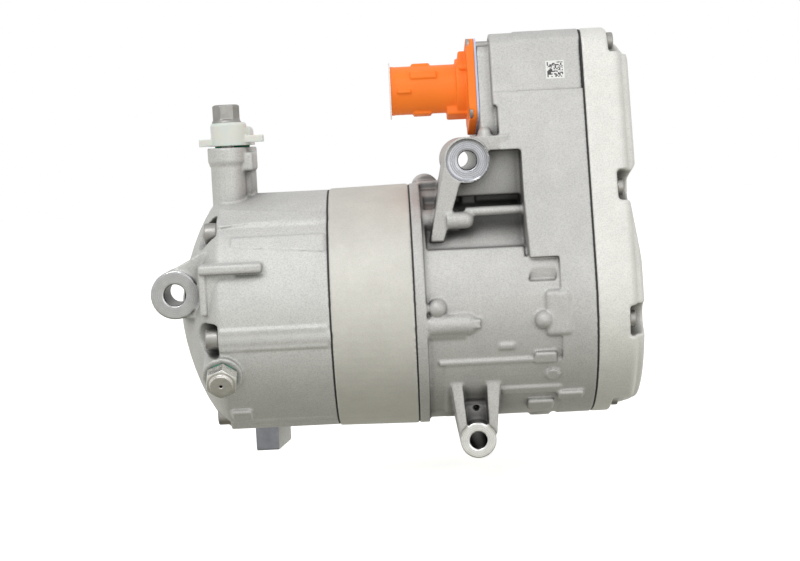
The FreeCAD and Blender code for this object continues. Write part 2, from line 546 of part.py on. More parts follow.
# ---- ports -----------------------------------------------------------------------------
def port_cap(hole_r, spacing):
    """Shipping cap with its screw eye; port at the local origin, screw at -Y, outward is +Z."""
    plug = Part.makeCylinder(hole_r - 0.15, 8.0, V(0, 0, -8.0))
    plug = plug.cut(Part.makeCylinder(hole_r - 2.0, 9.0, V(0, 0, -9.0)))
    plate = Part.makeCylinder(hole_r + 4.0, 3.2, V(0, 0, 0.9))
    dome = Part.makeCone(hole_r + 2.4, hole_r - 1.0, 7.0, V(0, 0, 4.0))
    tower = Part.makeCylinder(8.9, 11.4, V(0.8, -spacing, 0.9))
    tower = tower.makeFillet(1.6, [e for e in tower.Edges if abs(e.CenterOfMass.z - 12.3) < 0.1])
    link = Part.makeBox(17.6, spacing, 9.4, V(-6.5, -spacing + 2.0, 0.9))
    link = link.makeFillet(2.4, link.Edges)
    wing_l = Part.makeBox(8.0, 7.0, 3.6, V(-13.8, -spacing - 4.0, 0.9))
    wing_r = Part.makeBox(9.6, 7.0, 3.4, V(8.2, -spacing - 4.0, 2.2))
    body = fuse(plug, plate, dome, tower, link, wing_l, wing_r)
    return body.cut(Part.makeCylinder(3.15, 40, V(0, -spacing, -10)))


def port_bolt(spacing):
    shank = Part.makeCylinder(BOLT_R, 32.3, V(0, -spacing, -20.0))
    flange = Part.makeCone(7.4, 6.6, 1.4, V(0, -spacing, 12.3))
    head = hexagon(11.6, 7.4, V(0, -spacing, 13.7), Z_AXIS, 8.0)
    return fuse(shank, flange, head)


def port_ring(hole_r):
    return Part.makeTorus(hole_r + 0.95, 0.45, V(0, 0, 0.45))


def ports():
    spacing = PORT_HOLE_Y - PORT_BOLT_Y
    top = FreeCAD.Placement(V(PORT_X, PORT_HOLE_Y, PORT_FACE_Z), FreeCAD.Rotation())
    back = FreeCAD.Placement(V(SUCTION_X, SUCTION_FACE_Y, SUCTION_HOLE_Z), FreeCAD.Rotation(X_AXIS, -90))
    spacing_b = SUCTION_BOLT_Z - SUCTION_HOLE_Z
    bolts, seals = [], []
    for name, place, hole_r, dist in (("discharge", top, PORT_HOLE_R, spacing),
                                      ("suction", back, SUCTION_HOLE_R, spacing_b)):
        cap, bolt, seal = port_cap(hole_r, dist), port_bolt(dist), port_ring(hole_r)
        for shape in (cap, bolt, seal):
            shape.Placement = place.multiply(shape.Placement)
        put(name + "_port_cap", cap)
        bolts.append(bolt)
        seals.append(seal)
    put("port_cap_bolts", group(bolts))
    put("port_seals", group(seals))
    tube = cyl_z(53.5, 70, 5.0, PORT_X, PORT_HOLE_Y).fuse(cyl_z(70, 72, PORT_HOLE_R, PORT_X, PORT_HOLE_Y))
    put("oil_separator_tube", tube.cut(cyl_z(52, 73, 3.8, PORT_X, PORT_HOLE_Y)))


def relief_valve():
    """Spring-loaded poppet in a hexagon-headed body, pointing away from the shaft."""
    seat, out = 46.0, 61.5
    shank = Part.makeCylinder(RELIEF_BORE_R - 0.01, out + 0.8 - seat, V(RELIEF_X, seat, 0), Y_AXIS)
    head = hexagon(14.0, 6.6, V(RELIEF_X, out + 0.8, 0), Y_AXIS, 22.0)
    nose = Part.makeCylinder(5.4, 1.6, V(RELIEF_X, out + 7.3, 0), Y_AXIS)
    body = fuse(shank, head, nose)
    body = cut_all(body, [Part.makeCylinder(1.4, 10, V(RELIEF_X, seat - 1, 0), Y_AXIS),
                          Part.makeCylinder(3.03, 19.0, V(RELIEF_X, seat + 2.5, 0), Y_AXIS),
                          Part.makeCylinder(0.8, 9, V(RELIEF_X, out + 3, 0), Y_AXIS)])
    put("relief_valve_body", spin(body, RELIEF_ANGLE))
    seal = Part.makeCylinder(6.9, 0.8, V(RELIEF_X, out, 0), Y_AXIS)
    seal = seal.cut(Part.makeCylinder(RELIEF_BORE_R + 0.05, 3, V(RELIEF_X, out - 1, 0), Y_AXIS))
    put("relief_valve_seal", spin(seal, RELIEF_ANGLE))
    poppet = Part.makeCylinder(3.0, 2.6, V(RELIEF_X, seat + 2.5, 0), Y_AXIS)
    poppet = poppet.fuse(Part.makeCylinder(1.2, 4.0, V(RELIEF_X, seat + 5.0, 0), Y_AXIS))
    put("relief_poppet", spin(poppet, RELIEF_ANGLE))
    turns, free = 6, 14.0
    coil = Part.makeHelix(free / turns, free, 2.2)
    circle = Part.Wire(Part.makeCircle(0.4, V(2.2, 0, 0), V(0, 1, 0)))
    spring = Part.Wire(coil.Edges).makePipeShell([circle], True, True)
    spring.Placement = FreeCAD.Placement(V(RELIEF_X, seat + 5.7, 0), FreeCAD.Rotation(Z_AXIS, Y_AXIS))
    put("relief_spring", spin(spring, RELIEF_ANGLE))


# ---- electrical connectors ---------------------------------------------------------------
def high_voltage_connector():
    flange_lo, flange_hi = HV_FLANGE_X
    half = 20.4
    plate = block(flange_lo, flange_hi, HV_Y - half, HV_Y + half, HV_Z - half, HV_Z + half)
    plate = plate.makeFillet(6.0, [e for e in plate.Edges if abs(e.Length - (flange_hi - flange_lo)) < 0.01])
    collar = cyl_x(HV_BARREL_X[1] - 1.0, flange_lo + 0.1, 14.4, HV_Y, HV_Z)
    barrel = cyl_x(*HV_BARREL_X, HV_BARREL_R, HV_Y, HV_Z)
    lip = cyl_x(HV_BARREL_X[0], HV_BARREL_X[0] + 1.2, HV_BARREL_R + 0.2, HV_Y, HV_Z)
    spigot = cyl_x(flange_hi - 0.1, flange_hi + 7.0, 15.9, HV_Y, HV_Z)
    key_top = soft_block(44, 53, HV_Y - 4, HV_Y + 4, HV_Z + 8, HV_Z + 12.7, 0.6)
    rail_a = soft_block(43, 56, HV_Y - 12.8, HV_Y - 6, HV_Z + 2.4, HV_Z + 6.4, 0.5)
    rail_b = soft_block(36.6, 43.2, HV_Y - 12.8, HV_Y - 6, HV_Z - 4.6, HV_Z - 2.8, 0.5)
    foot_low = soft_block(60.5, flange_lo + 0.5, HV_Y - 6, HV_Y + 6, HV_Z - 14.6, HV_Z - 8, 0.8)
    foot_top = soft_block(67.0, flange_lo + 0.5, HV_Y - 10, HV_Y + 10, HV_Z + 10, HV_Z + 16.2, 1.0)
    side_rib = soft_block(67.2, flange_lo + 0.5, HV_Y - 15.2, HV_Y - 8, HV_Z + 5.2, HV_Z + 7.4, 0.6)
    latch = soft_block(44, 53, HV_Y - 3, HV_Y + 3, HV_Z - 12.9, HV_Z - 9, 0.6)
    body = fuse(plate, collar, barrel, lip, spigot, key_top, rail_a, rail_b, foot_low, foot_top,
                side_rib, latch)
    cuts = [cyl_x(HV_BARREL_X[0] - 1, 58.0, 10.2, HV_Y, HV_Z), cyl_x(69, 90, 13.0, HV_Y, HV_Z)]
    cuts += [cyl_x(30, 75, 2.5, HV_Y + dy, HV_Z) for dy in (-4.6, 4.6)]
    cuts += [cyl_x(66, 80, 2.2, y, z) for y, z in hv_screw_places()]
    cuts += [cyl_x(66, flange_lo + HV_SCREW_SINK, 3.5, y, z) for y, z in hv_screw_places()]
    put("hv_connector_body", tilt(cut_all(body, cuts)))
    seal = block(flange_hi, CASE_LEFT_X, HV_Y - half, HV_Y + half, HV_Z - half, HV_Z + half)
    seal = seal.makeFillet(6.0, [e for e in seal.Edges if abs(e.Length - (CASE_LEFT_X - flange_hi)) < 0.01])
    holes = [cyl_x(70, 80, 16.0, HV_Y, HV_Z)] + [cyl_x(70, 80, 2.2, y, z) for y, z in hv_screw_places()]
    put("hv_connector_seal", tilt(cut_all(seal, holes)))
    pins = [cyl_x(38, 92, 2.45, HV_Y + dy, HV_Z) for dy in (-4.6, 4.6)]
    put("hv_terminals", tilt(group([p.makeFillet(1.0, [e for e in p.Edges if e.CenterOfMass.x < 38.1])
                                    for p in pins])))
    film = cyl_x(HV_BARREL_X[0] - 0.8, HV_BARREL_X[0] - 0.05, 14.0, HV_Y, HV_Z)
    skirt = ring_x(HV_BARREL_X[0] - 0.1, HV_BARREL_X[0] + 4.0, 10.1, 9.3, HV_Y, HV_Z)
    put("hv_dust_cap", tilt(fuse(film, skirt)))


def low_voltage_connector():
    wall = CASE_R
    flange = block(LV_X - 16, LV_X + 16, wall, wall + 3, LV_Z - 12, LV_Z + 12)
    flange = flange.makeFillet(4.0, [e for e in flange.Edges if abs(e.Length - 3.0) < 0.01])
    shell = block(LV_X - 13, LV_X + 13, wall + 2, wall + 22, LV_Z - 8.5, LV_Z + 8.5)
    shell = shell.makeFillet(2.5, [e for e in shell.Edges if abs(e.Length - 20.0) < 0.01])
    plug = block(LV_X - 8.9, LV_X + 8.9, wall - 6, wall + 1, LV_Z - 5.9, LV_Z + 5.9)
    rail = block(LV_X - 3, LV_X + 3, wall + 6, wall + 16, LV_Z + 8, LV_Z + 10)
    body = fuse(flange, shell, plug, rail)
    pin_y0, pin_y1 = wall - 12, wall + 16
    places = [(LV_X - 7.5 + 3.0 * i, LV_Z - 2.0 + 4.0 * j) for i in range(6) for j in range(2)]
    cuts = [block(LV_X - 11, LV_X + 11, wall + 6, wall + 30, LV_Z - 6.5, LV_Z + 6.5)]
    for z in (LV_Z - 2.0, LV_Z + 2.0):
        cuts.append(block(LV_X - 8.1, LV_X + 8.1, wall - 20, wall + 10, z - 0.5, z + 0.5))
    put("lv_connector_body", tilt(cut_all(body, cuts)))
    put("lv_terminals", tilt(group([cyl_y(pin_y0, pin_y1, 0.48, x, z) for x, z in places])))


# ---- scrolls and crank -------------------------------------------------------------------


def scroll_wall(x0, x1, thickness, r_start, half_turns, sign):
    """A spiral wall of half rings; sign -1 turns it half round for the mating scroll."""
    pieces = []
    for k in range(half_turns):
        r = r_start + k * SCROLL_PITCH / 2
        side = -1 if k % 2 == 0 else 1
        tube = ring_x(x0, x1, r + thickness / 2, r - thickness / 2)
        half = block(x0 - 1, x1 + 1, -90, 90, 0, 90) if side < 0 else block(x0 - 1, x1 + 1, -90, 90, -90, 0)
        arc = tube.common(half)
        arc.translate(V(0, side * SCROLL_PITCH / 4, 0))
        pieces.append(arc)
    wall = fuse(*pieces)
    return wall if sign > 0 else spin(wall, 180)


def scrolls():
    wall_t = SCROLL_T - SCROLL_GAP
    turns, r0 = SCROLL_HALF_TURNS, SCROLL_START_R
    plate = cyl_x(-46.0, FIXED_FLOOR_X, 51.95)
    rim = ring_x(FIXED_FLOOR_X - 1, FIXED_TIP_X, 51.95, 47.0)
    wall = scroll_wall(FIXED_FLOOR_X - 1, FIXED_TIP_X, wall_t, r0, turns, 1)
    groove = scroll_wall(FIXED_TIP_X - 1.2, FIXED_TIP_X + 1, 1.7, r0, turns, 1)
    fixed = fuse(plate, rim, wall).cut(groove)
    cuts = [cyl_x(-47, -37, 3.5, 0.5, 0), block(-46.5, -45.4, -5, 5, -29, -20)]
    cuts.append(cyl_x(-47, -40, 2.0, 0, -24.0))
    cuts += [cyl_x(-47, 0, BOLT_R + 0.4, *polar(BOLT_CIRCLE_R, a)) for a in BOLT_ANGLES]
    put("fixed_scroll", cut_all(fixed, cuts))
    seal = scroll_wall(FIXED_TIP_X - 1.15, FIXED_TIP_X + 0.05, 1.6, r0, turns, 1)
    put("fixed_tip_seal", seal)
    base = cyl_x(ORBIT_FACE_X, ORBIT_BACK_X, ORBIT_PLATE_R)
    wall = scroll_wall(ORBIT_TIP_X, ORBIT_FACE_X + 1, wall_t, r0, turns, -1)
    groove = scroll_wall(ORBIT_TIP_X - 1, ORBIT_TIP_X + 1.2, 1.7, r0, turns, -1)
    hub = ring_x(ORBIT_BACK_X - 1, 8.0, 16.0, 13.0)
    moving = fuse(base, wall, hub).cut(groove)
    pockets, rings = [], []
    for k in range(4):
        y, z = polar(PIN_CIRCLE_R, 45 + 90 * k)
        pockets.append(cyl_x(ORBIT_BACK_X - 4, ORBIT_BACK_X + 1, 8.2, y, z))
        rings.append(ring_x(ORBIT_BACK_X - 3.9, ORBIT_BACK_X, 8.2, GUIDE_PIN_R + ORBIT_R + 0.1, y, z))
    moving = cut_all(moving, pockets)
    seal = scroll_wall(ORBIT_TIP_X - 0.05, ORBIT_TIP_X + 1.15, 1.6, r0, turns, -1)
    race = ring_x(-6.5, 7.6, 13.0, 11.0)
    for name, shape in (("orbiting_scroll", moving), ("orbiting_tip_seal", seal),
                        ("anti_rotation_rings", group(rings)), ("crank_bearing_outer_race", race)):
        shape.translate(V(0, CRANK_Y, 0))
        put(name, shape)
    thrust = ring_x(ORBIT_BACK_X + 0.05, CARRIER_X[0], 51.9, 28.3)
    pins = [cyl_x(ORBIT_BACK_X - 3.5, 4.0, GUIDE_PIN_R, *polar(PIN_CIRCLE_R, 45 + 90 * k)) for k in range(4)]
    pin_holes = [cyl_x(-10, 4.0, GUIDE_PIN_R, *polar(PIN_CIRCLE_R, 45 + 90 * k)) for k in range(4)]
    bolt_holes = [cyl_x(-10, 1, BOLT_R + 0.4, *polar(BOLT_CIRCLE_R, a)) for a in BOLT_ANGLES]
    put("thrust_plate", cut_all(thrust, pin_holes + bolt_holes))
    put("anti_rotation_pins", group(pins))
    carrier = cyl_x(CARRIER_X[0], 0, 51.9).fuse(cyl_x(0, 18.9, 46.95)).fuse(cyl_x(18.9, CARRIER_X[1], 43.9))
    cuts = [cyl_x(-10, 12.0, 28.2), cyl_x(11, 14.0, 20.0), cyl_x(14.0, 40, 23.5)] + pin_holes
    cuts += [cyl_x(-10, 30, 4.0, *polar(37.0, 90 * k)) for k in range(4)]
    cuts += [cyl_x(-10, 1, BOLT_R + 0.4, *polar(BOLT_CIRCLE_R, a)) for a in BOLT_ANGLES]
    put("bearing_carrier", cut_all(carrier, cuts))


def ball_bearing(prefix, x0, x1, r_bore, r_inner, r_outer, r_seat, balls):
    """Deep-groove bearing: two races with grooves, balls, and a ribbon cage between them."""
    mid, pitch = (x0 + x1) / 2, (r_inner + r_outer) / 2
    ball_r = (r_outer - r_inner) / 2 + 0.9
    groove = Part.makeTorus(pitch, ball_r + RUN_CLEAR, V(mid, 0, 0), X_AXIS)
    put(prefix + "_outer_race", ring_x(x0, x1, r_seat, r_outer).cut(groove))
    put(prefix + "_inner_race", ring_x(x0, x1, r_inner, r_bore).cut(groove))
    cage = ring_x(mid - 1.6, mid + 1.6, pitch + 0.8, pitch - 0.8)
    spheres = []
    for k in range(balls):
        y, z = polar(pitch, 360.0 * k / balls)
        spheres.append(Part.makeSphere(ball_r, V(mid, y, z)))
        cage = cage.cut(Part.makeSphere(ball_r + 0.08, V(mid, y, z)))
    put(prefix + "_balls_and_cage", group(spheres + [cage]))


def crank_and_shaft():
    journal = cyl_x(13.9, 96.0, SHAFT_R)
    tail = cyl_x(95.0, 105.8, PIN_R)
    disc = cyl_x(11.0, 13.9, 12.0)
    pin = cyl_x(-5.0, 12.0, PIN_R, CRANK_Y, 0)
    put("shaft", fuse(journal, tail, disc, pin))
    put("crank_bush", ring_x(-5.0, 8.9, SHAFT_R - 0.05, PIN_R, CRANK_Y, 0))
    rollers = []
    count = 16
    for k in range(count):
        y, z = polar(10.0, 360.0 * k / count)
        rollers.append(cyl_x(-4.5, 7.0, 0.95, CRANK_Y + y, z))
    put("crank_rollers", group(rollers))
    plate = cyl_x(9.1, 10.9, 27.4).common(block(0, 20, -40, 14, -40, 40))
    rim = ring_x(-2.5, 9.2, 27.4, 21.5).common(block(-5, 20, -40, -3, -40, 40))
    weight = fuse(plate, rim).cut(cyl_x(-6, 20, PIN_R, CRANK_Y, 0))
    put("counterweight", weight)
    ball_bearing("front_bearing", 14.0, 28.0, SHAFT_R, 13.2, 19.4, 23.5, 8)
    ball_bearing("rear_bearing", 99.0, 106.0, PIN_R, 8.2, 11.6, 14.0, 9)


def discharge_valve():
    reed = fuse(cyl_x(-46.35, -46.05, 4.6), block(-46.35, -46.05, -2.6, 2.6, -23, 0),
                block(-46.35, -46.05, -4.0, 4.0, -27.5, -20.5))
    put("discharge_reed", reed.cut(cyl_x(-50, -40, 2.6, 0, -24.0)))
    stop = prism_xz([(-46.75, -28), (-46.75, -20), (-50.6, 5), (-52.0, 5), (-48.4, -20), (-48.4, -28)], -4, 4)
    foot = block(-46.75, -46.0, -4.9, 4.9, -31.5, -28.4).fuse(block(-48.4, -46.7, -4.0, 4.0, -31.5, -27.9))
    stop = fuse(stop, foot)
    put("reed_stop", stop.cut(cyl_x(-60, -40, 2.02, 0, -24.0)))
    screw = cyl_x(-48.4, -40.5, 1.98, 0, -24.0).fuse(cyl_x(-50.8, -48.4, 3.6, 0, -24.0))
    put("reed_screw", screw.cut(hexagon_flat(2.5, 1.6, V(-50.9, 0, -24.0))))


# ---- motor and electronics -----------------------------------------------------------------
def motor():
    x0, x1 = MOTOR_X
    slots = 12
    core = ring_x(x0, x1, BARREL_IN_R, STATOR_IN_R)
    for k in range(slots):
        a = 360.0 / slots * k
        wide = prism_yz([(30.5, -4.2), (43.5, -7.8), (43.5, 7.8), (30.5, 4.2)], x0 - 1, x1 + 1)
        mouth = block(x0 - 1, x1 + 1, STATOR_IN_R - 1, 31, -1.4, 1.4)
        core = core.cut(spin(wide.fuse(mouth), a))
    put("stator_core", core)
    coils, frames = [], []
    for k in range(slots):
        a = 360.0 / slots * (k + 0.5)
        outer = block(x0 - 5.5, x1 + 5.5, 31.5, 42.5, -7.6, 7.6)
        inner = block(x0 - 1.2, x1 + 1.2, 31.0, 43.0, -4.9, 4.9)
        coil = outer.cut(inner)
        tooth = prism_yz([(30, -3.9), (43.6, -4.3), (43.6, 4.3), (30, 3.9)], x0, x1)
        room = prism_yz([(31.5, -7.6), (31.5, 7.6), (42.5, 10.6), (42.5, -10.6)], x0 - 6, x1 + 6)
        coils.append(spin(coil.common(room).cut(tooth), a))
    for lo, hi in ((x0 - 7.0, x0 - 0.05), (x1 + 0.05, x1 + 7.0)):
        frame = ring_x(lo, hi, 45.6, 43.2)
        frames.append(frame)
    put("stator_windings", group(coils))
    put("stator_insulators", group(frames))
    r_core = ring_x(x0, x1, ROTOR_R, SHAFT_R)
    magnets = []
    for k in range(6):
        slot = spin(block(x0 - 1, x1 + 1, 20.0, 22.6, -8.5, 8.5), 60 * k)
        r_core = r_core.cut(slot)
        magnets.append(spin(block(x0 + 0.2, x1 - 0.2, 20.05, 22.55, -8.4, 8.4), 60 * k))
    put("rotor_core", r_core)
    put("rotor_magnets", group(magnets))
    plates = [ring_x(lo, hi, ROTOR_R - 1, SHAFT_R) for lo, hi in ((x0 - 1.5, x0), (x1, x1 + 1.5))]
    weight = ring_x(x0 - 6.0, x0 - 1.5, 24.0, 14.0).common(block(40, 50, 0, 30, -30, 30))
    put("rotor_end_plates", group(plates + [weight]))


def electronics():
    board_x = BOARD_X
    board = case_slab(board_x, board_x + 1.6, 14.0)
    holes = [tilt(cyl_x(110, 125, 1.7, y, z)) for y, z in board_screw_places()]
    board = cut_all(board, holes)
    screws = []
    for y, z in board_screw_places():
        head = cyl_x(board_x + 1.6, board_x + 3.4, 3.0, y, z)
        screws.append(tilt(fuse(cyl_x(110.5, board_x + 1.6, 1.6, y, z), head)))
    put("board_screws", group(screws))
    module_x = BULKHEAD_X[1] + 0.05
    modules = [tilt(soft_block(module_x, 114.0, y - 9, y + 9, -34, -8, 0.8)) for y in (-21, 0, 21)]
    put("power_modules", group(modules))
    chips = [tilt(soft_block(board_x + 1.6, board_x + 1.6 + h, y - a, y + a, z - b, z + b, 0.4))
             for y, z, a, b, h in ((0, 20, 8, 8, 2.0), (-24, 44, 5, 7, 3.0), (20, 52, 9, 6, 4.0),
                                   (8, 84, 7, 7, 2.5), (-20, -10, 5, 5, 2.0))]
    put("inverter_board", group([board] + chips))
    put("dc_link_capacitor", tilt(soft_block(84.5, 108.5, -4, 44, 84, 116, 2.0)))
    core = tilt(Part.makeTorus(11.0, 4.0, V(100.0, HV_Y, HV_Z), X_AXIS))
    put("filter_choke", core)
    shell = block(BULKHEAD_X[0] - 1.5, BULKHEAD_X[1] - 0.5, -11.9, 11.9, 34.1, 43.9)
    leads = [cyl_x(98.0, 116, 1.48, y, 39.0) for y in (-7.5, 0, 7.5)]
    shell = cut_all(shell, [cyl_x(90, 120, 1.5, y, 39.0) for y in (-7.5, 0, 7.5)])
    put("motor_feedthrough", group([shell] + leads))


def board_screw_places():
    return [(-36, 10), (36, 10), (-36, 76), (36, 76)]


def export_all():
    os.makedirs("parts", exist_ok=True)
    shift = V(-UPPER_LUG[0], -(LUG_FRONT_Y + LUG_BACK_Y) / 2, -UPPER_LUG[1])
    for name, shape in NODES.items():
        placed = shape.copy()
        placed.translate(shift)
        placed.exportStep("parts/" + name + ".step")


put("discharge_head", discharge_head())
put("centre_housing", centre_housing())
put("motor_housing", motor_housing())
put("inverter_cover", inverter_cover())
gaskets()
fasteners()
ports()
relief_valve()
high_voltage_connector()
low_voltage_connector()
scrolls()
crank_and_shaft()
discharge_valve()
motor()
electronics()
export_all()
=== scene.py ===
"""Looks for the electric scroll compressor: cast aluminium skins, plastics, fasteners, light and camera."""
import json
import math

import bmesh
import bpy
from mathutils import Matrix, Vector


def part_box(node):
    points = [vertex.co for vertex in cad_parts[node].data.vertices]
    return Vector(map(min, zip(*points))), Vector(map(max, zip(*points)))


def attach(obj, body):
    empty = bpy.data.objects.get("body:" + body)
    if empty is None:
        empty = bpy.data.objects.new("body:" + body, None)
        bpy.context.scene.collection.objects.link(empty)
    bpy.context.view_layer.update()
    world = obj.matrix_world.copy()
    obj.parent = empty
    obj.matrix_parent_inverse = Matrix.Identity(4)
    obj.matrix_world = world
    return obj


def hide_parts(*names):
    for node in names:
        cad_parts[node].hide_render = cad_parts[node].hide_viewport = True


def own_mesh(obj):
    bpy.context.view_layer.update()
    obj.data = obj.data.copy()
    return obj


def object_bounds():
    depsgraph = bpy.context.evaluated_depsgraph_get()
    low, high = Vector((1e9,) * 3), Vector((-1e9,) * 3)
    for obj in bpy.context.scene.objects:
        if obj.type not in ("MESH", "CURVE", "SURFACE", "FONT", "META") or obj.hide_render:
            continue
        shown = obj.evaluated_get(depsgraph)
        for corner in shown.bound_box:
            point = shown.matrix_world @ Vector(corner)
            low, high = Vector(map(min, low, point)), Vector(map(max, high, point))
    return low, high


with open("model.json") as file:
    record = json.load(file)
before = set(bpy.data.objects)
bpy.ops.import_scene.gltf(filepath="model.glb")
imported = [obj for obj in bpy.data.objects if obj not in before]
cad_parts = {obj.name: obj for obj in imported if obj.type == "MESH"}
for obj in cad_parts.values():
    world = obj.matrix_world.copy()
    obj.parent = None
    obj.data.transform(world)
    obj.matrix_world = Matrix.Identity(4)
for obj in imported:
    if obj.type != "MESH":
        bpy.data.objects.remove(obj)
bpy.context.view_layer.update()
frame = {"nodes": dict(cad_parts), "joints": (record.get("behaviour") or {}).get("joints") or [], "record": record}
MM = 0.001
RECORD = frame["record"]
NODES = frame["nodes"]
MOUNTS = {m["name"]: m for m in RECORD["mounts"]}
SHAFT = Vector(next(j["pos_m"] for j in frame["joints"] if j["name"] == "shaft_spin"))
JOINT_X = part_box("centre_housing")[0].x           # head joint, which the camera is placed from

# ---- light and camera settings -------------------------------------------------------------
SKY = [
    # height from straight down, 0, to straight up, 1: colour
    (0.00, (0.17, 0.165, 0.13)),
    (0.30, (0.66, 0.655, 0.60)),
    (0.50, (0.73, 0.725, 0.695)),
    (0.66, (0.78, 0.78, 0.77)),
    (1.00, (0.58, 0.58, 0.58)),
]
LIGHTS = [
    # name, place in metres, width and height in metres, power in watts
    ("key", (-0.45, -1.05, 1.05), (0.8, 0.6), 5.0),
    ("top", (0.1, 0.1, 1.1), (1.2, 1.0), 1.2),
    ("front", (0.55, -1.35, 0.25), (1.0, 0.9), 2.6),
]
AIM_LEFT, AIM_UP = 0.03, 0.02       # metres from the shaft joint, where the lights point
FLOOR_SIZE = 6.0            # metres
FLOOR_BACK = 0.6            # metres
FLOOR_DROP = 12             # mm below the lowest point of the object
FLOOR_GLOW = 0.62
CAMERA_RISE = 5.0           # degrees above the lugs' own level
CAMERA_ROLL = 2.826         # degrees
CAMERA_LENS = 70.6          # mm
SENSOR_WIDTH = 36.0         # mm
CAMERA_FROM_HEAD_JOINT = (33.3, -793.7, 81.1)   # mm from the shaft axis at the head joint
CASE_TILT = 13.5            # the inverter case leans back, degrees
MARK_AT = (112.9, -57.5, 102.2)     # mm, etched square on the case front, in the case's own frame
MARK_HALF = 4.5             # mm
MARK_CELL = 0.65            # mm
MARK_FADE = 0.1             # mm, the soft edge of the square
MARK_REACH_SHARE = 0.5      # how much the distance from the case front counts against the mark

# ---- finish settings -----------------------------------------------------------------------
CORNER_SHADE_REACH = 6            # mm, how far a casting looks for walls that darken a corner with painted shade
RECESS_SHADE_REACH = 45           # mm, the same for the painted shade in its deep recesses
BORE_SHADE_REACH = 12             # mm, the same for a turned lug: painted shade inside its bore
LIGHT_DEPTH = 4             # mm that light gets into a plastic
CAST_METALLIC = 0.6
TURNED_RINGS = 340.0
STREAK_SCALE = 900.0
PLASTIC_GRAIN = 1100.0
FACE_BAND = 1.6             # mm either side of a lug's end that count as its face
FACE_SQUARENESS = 0.6       # least size of such a face's normal along Y
BORE_SKIN = 0.4             # mm outside a bore's radius that still count as its wall
FOOT_HALF_WIDTH = 12        # mm
FOOT_TOP = 6                # mm above the foot's hole
FOOT_DEPTH = 10             # mm in front of the foot's hole
FOOT_SQUARENESS = 0.7       # least size of the sawn face's normal along Y
WELD_DISTANCE = 1e-6        # metres
SMOOTHING = 0.5
MIX_FACTOR, MIX_A, MIX_B, MIX_RESULT = 0, 6, 7, 2     # sockets of a colour mix node


# ---- node helpers ------------------------------------------------------------------------
class Nodes:
    """A small wrapper that builds a material's node tree."""

    def __init__(self, name):
        self.material = bpy.data.materials.new(name)
        self.material.use_nodes = True
        self.tree = self.material.node_tree
        self.shader = self.tree.nodes["Principled BSDF"]
        self.coords = self.add("ShaderNodeTexCoord").outputs["Object"]

    def add(self, kind, **settings):
        node = self.tree.nodes.new(kind)
        for key, value in settings.items():
            setattr(node, key, value)
        return node

    def link(self, source, target):
        self.tree.links.new(source, target)

    def noise(self, scale, detail=3.0, roughness=0.55, vector=None):
        node = self.add("ShaderNodeTexNoise")
        node.inputs["Scale"].default_value = scale
        node.inputs["Detail"].default_value = detail
        node.inputs["Roughness"].default_value = roughness
        self.link(vector or self.coords, node.inputs["Vector"])
        return node.outputs["Fac"]

    def ramp(self, factor, stops):
        node = self.add("ShaderNodeValToRGB")
        ramp = node.color_ramp
        while len(ramp.elements) < len(stops):
            ramp.elements.new(0.5)
        for element, (place, colour) in zip(ramp.elements, stops):
            element.position = place
            element.color = (*colour, 1.0) if isinstance(colour, tuple) else (colour, colour, colour, 1.0)
        self.link(factor, node.inputs["Fac"])
        return node.outputs["Color"]

    def mix(self, kind, factor, a, b):
        node = self.add("ShaderNodeMix", data_type="RGBA", blend_type=kind)
        factor_socket = node.inputs[MIX_FACTOR]
        for socket, value in ((factor_socket, factor), (node.inputs[MIX_A], a), (node.inputs[MIX_B], b)):
            if isinstance(value, (int, float)):
                socket.default_value = value if socket == factor_socket else (value, value, value, 1.0)
            elif isinstance(value, tuple):
                socket.default_value = (*value, 1.0)
            else:
                self.link(value, socket)
        return node.outputs[MIX_RESULT]

    def span(self, factor, low, high):
        node = self.add("ShaderNodeMapRange")
        node.inputs["To Min"].default_value = low
        node.inputs["To Max"].default_value = high
        self.link(factor, node.inputs["Value"])
        return node.outputs["Result"]

    def span_from(self, factor, at_zero, at_one):
        """0 where the factor equals the first value, 1 where it equals the second."""
        node = self.add("ShaderNodeMapRange")
        node.inputs["From Min"].default_value = at_zero
        node.inputs["From Max"].default_value = at_one
        self.link(factor, node.inputs["Value"])
        return node.outputs["Result"]

    def magnitude(self, factor, scale=1.0):
        size = self.add("ShaderNodeMath", operation="ABSOLUTE")
        self.link(factor, size.inputs[0])
        scaled = self.add("ShaderNodeMath", operation="MULTIPLY")
        self.link(size.outputs[0], scaled.inputs[0])
        scaled.inputs[1].default_value = scale
        return scaled.outputs[0]

    def larger(self, a, b):
        node = self.add("ShaderNodeMath", operation="MAXIMUM")
        self.link(a, node.inputs[0])
        self.link(b, node.inputs[1])
        return node.outputs[0]

    def bump(self, height, strength, distance, previous=None):
        node = self.add("ShaderNodeBump")
        node.inputs["Strength"].default_value = strength
        node.inputs["Distance"].default_value = distance
        self.link(height, node.inputs["Height"])
        if previous:
            self.link(previous, node.inputs["Normal"])
        return node.outputs["Normal"]

    def finish(self, colour=None, rough=None, normal=None, **fixed):
        for source, socket in ((colour, "Base Color"), (rough, "Roughness"), (normal, "Normal")):
            if source is not None:
                self.link(source, self.shader.inputs[socket])
        for key, value in fixed.items():
            self.shader.inputs[key.replace("_", " ")].default_value = value
        return self.material


def tone(colour, factor):
    return tuple(min(c * factor, 1.0) for c in colour)


